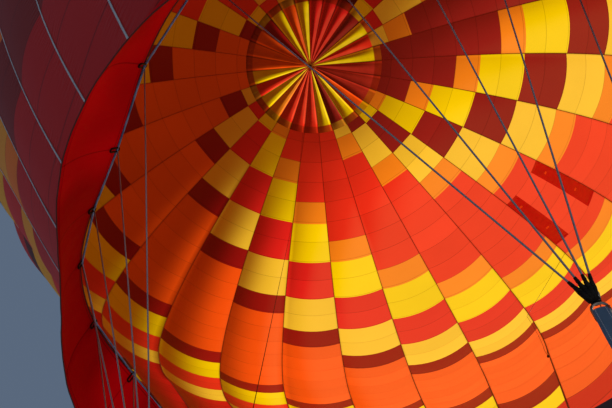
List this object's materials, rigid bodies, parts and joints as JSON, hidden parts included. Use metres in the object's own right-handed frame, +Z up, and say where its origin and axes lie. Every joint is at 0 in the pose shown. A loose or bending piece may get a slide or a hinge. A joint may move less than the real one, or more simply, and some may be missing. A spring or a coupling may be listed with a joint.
{
  "type": "hot air balloon",
  "caption": "Passenger hot air balloon: checkered gored envelope with parachute vent and skirt, wires to a load frame with gimballed burners, and a woven basket.",
  "frame": {"origin": "middle of the hot air, on the envelope's axis, 23 m above the underside of the basket's skids", "axes": "+Z up the envelope's axis to the crown; +X along the basket's long side"},
  "size_m": [26.674, 26.674, 35.358],
  "materials": {
    "envelope_fabric": "coated ripstop cloth in yellow, orange, red and maroon panels",
    "vent_fabric": "coated ripstop cloth",
    "skirt_fabric": "flame-proof cloth, satin",
    "tape_webbing": "woven load tape",
    "crown_metal": "satin",
    "flying_wire": "braided, with black sleeves at the foot",
    "link_webbing": "padded webbing under a steel karabiner",
    "frame_paint": "satin grey",
    "burner_steel": "heat-tinted",
    "wicker": "woven cane, varnished",
    "deck_board": "plain board",
    "rim_leather": "stitched hide over padding",
    "upright_cover": "laced padded sleeve",
    "cylinder_metal": "brushed"
  },
  "bodies": {
    "balloon": {"envelope_gores_1": "envelope_fabric", "envelope_gores_2": "envelope_fabric", "envelope_gores_3": "envelope_fabric", "envelope_gores_4": "envelope_fabric", "envelope_gores_5": "envelope_fabric", "envelope_gores_6": "envelope_fabric", "envelope_gores_7": "envelope_fabric", "envelope_gores_8": "envelope_fabric", "envelope_gores_9": "envelope_fabric", "envelope_gores_10": "envelope_fabric", "envelope_gores_11": "envelope_fabric", "envelope_gores_12": "envelope_fabric", "envelope_gores_13": "envelope_fabric", "envelope_gores_14": "envelope_fabric", "turning_vent_left": "vent_fabric", "turning_vent_right": "vent_fabric", "crown_tapes": "tape_webbing", "crown_ring": "crown_metal", "skirt_panel_1": "skirt_fabric", "skirt_panel_2": "skirt_fabric", "skirt_panel_3": "skirt_fabric", "skirt_panel_4": "skirt_fabric", "flying_wires_end_1": "flying_wire", "flying_wires_long_1": "flying_wire", "flying_wires_long_2": "flying_wire", "flying_wires_end_2": "flying_wire", "flying_wires_end_3": "flying_wire", "flying_wires_long_3": "flying_wire", "flying_wires_long_4": "flying_wire", "flying_wires_end_4": "flying_wire", "suspension_link_end_1": "link_webbing", "suspension_link_long_1": "link_webbing", "suspension_link_long_2": "link_webbing", "suspension_link_end_2": "link_webbing", "suspension_link_end_3": "link_webbing", "suspension_link_long_3": "link_webbing", "suspension_link_long_4": "link_webbing", "suspension_link_end_4": "link_webbing", "load_frame": "frame_paint", "basket_wall": "wicker", "basket_floor": "deck_board", "basket_rim": "rim_leather", "partition_left": "wicker", "partition_right": "wicker", "skids": "deck_board", "upright_1": "upright_cover", "upright_2": "upright_cover", "upright_3": "upright_cover", "upright_4": "upright_cover", "fuel_cylinder_1": "cylinder_metal", "fuel_cylinder_2": "cylinder_metal", "fuel_cylinder_3": "cylinder_metal", "fuel_cylinder_4": "cylinder_metal"},
    "vent": {"parachute_vent": "vent_fabric"},
    "gimbal": {"gimbal_frame": "frame_paint"},
    "burners": {"burner_tray": "burner_steel", "burner_can_left": "burner_steel", "burner_can_right": "burner_steel"}
  },
  "joints": [
    {"name": "vent_slide", "type": "slide", "parent": "balloon", "child": "vent", "axis": [0, 0, -1], "range_m": [0, 2.5], "stiffness_N_per_m": 120, "springref_m": -4},
    {"name": "gimbal_roll", "type": "hinge", "parent": "balloon", "child": "gimbal", "pos_m": [0.55, 0, -20.925], "axis": [1, 0, 0], "range_deg": [-12, 12]},
    {"name": "burner_pitch", "type": "hinge", "parent": "gimbal", "child": "burners", "pos_m": [0.55, 0, -20.925], "axis": [0, 1, 0], "range_deg": [-12, 12]}
  ]
}
